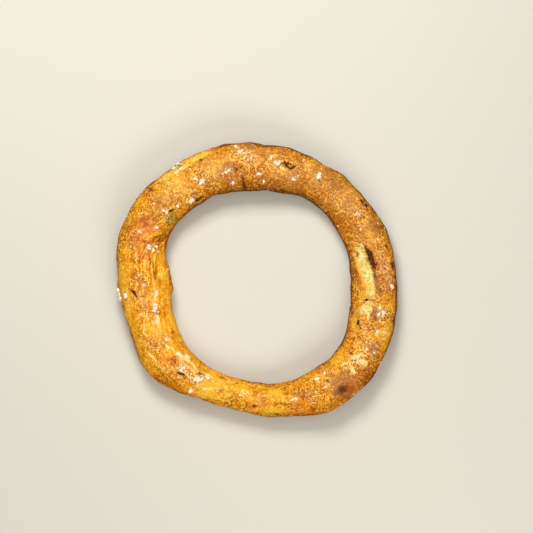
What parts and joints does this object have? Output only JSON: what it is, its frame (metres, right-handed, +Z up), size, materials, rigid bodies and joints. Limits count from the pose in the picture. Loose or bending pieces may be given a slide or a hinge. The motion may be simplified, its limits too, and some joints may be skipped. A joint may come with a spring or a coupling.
{
  "type": "bread ring",
  "caption": "Ring-shaped loaf of crusty bread: a hand-rolled rope of dough, uneven in width, with a long tear, slits, a lapped seam and baked-on flour.",
  "frame": {"origin": "middle of the ring, on the surface that it lies on", "axes": "+Z up, out of the top of the crust; the long tear is on the +X side and the near-side seam on the -Y side"},
  "size_m": [0.2529, 0.2474, 0.0369],
  "materials": {
    "crust": "dry, blistered golden crust, browner along the top, with a dusting of flour"
  },
  "bodies": {
    "root": {"bread_ring": "crust"}
  },
  "joints": []
}
